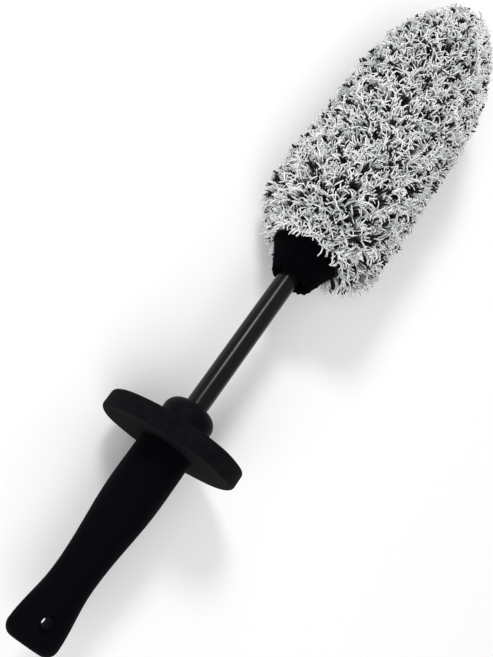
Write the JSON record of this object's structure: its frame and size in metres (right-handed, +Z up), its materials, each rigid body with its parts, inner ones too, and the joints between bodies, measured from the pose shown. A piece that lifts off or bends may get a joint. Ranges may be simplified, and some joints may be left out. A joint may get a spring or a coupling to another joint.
{
  "type": "wheel brush",
  "caption": "Hand brush with a waisted grip, foam splash guard, slim tube and a long soft head in a pull-off microfibre cover, for washing vehicle wheels.",
  "frame": {"origin": "on the surface that the brush lies on, under the middle of its length", "axes": "+X along the tool from the butt of the grip to the tip of the head, +Z up and along the hang hole, +Y to the left of the tool seen from above with its tip ahead"},
  "size_m": [0.46, 0.0864, 0.0837],
  "materials": {
    "hard_plastic": "satin",
    "grip_rubber": "matte",
    "collar_plastic": "satin",
    "guard_foam": "matte",
    "tube_paint": "gloss",
    "pin_steel": "satin",
    "core_foam": "matte",
    "panel_knit": "matte",
    "black_cloth": "matte",
    "microfibre_pile": "matte",
    "elastic_rubber": "matte",
    "black_thread": "matte"
  },
  "bodies": {
    "handle": {"handle_core": "hard_plastic", "grip": "grip_rubber", "front_collar": "collar_plastic", "shaft_tube": "tube_paint", "shaft_pin": "pin_steel", "hub_pin": "pin_steel", "core_hub": "hard_plastic", "foam_core": "core_foam", "tip_plug": "hard_plastic", "tip_cushion": "core_foam"},
    "guard": {"splash_guard": "guard_foam"},
    "cover": {"panel_upper": "panel_knit", "panel_lower": "panel_knit", "cover_seam": "black_cloth", "pile_upper": "microfibre_pile", "pile_lower": "microfibre_pile", "cuff": "black_cloth", "cuff_elastic": "elastic_rubber", "cuff_hem_stitching": "black_thread", "cuff_join_stitching": "black_thread"}
  },
  "joints": [
    {"name": "guard_turn", "type": "hinge", "parent": "handle", "child": "guard", "pos_m": [-0.1095, 0, 0.0405], "axis": [1, 0, 0], "continuous": true},
    {"name": "cover_slide", "type": "slide", "parent": "handle", "child": "cover", "axis": [1, 0, 0], "range_m": [0, 0.21], "deforming": ["cuff", "cuff_elastic", "cuff_hem_stitching"]}
  ]
}
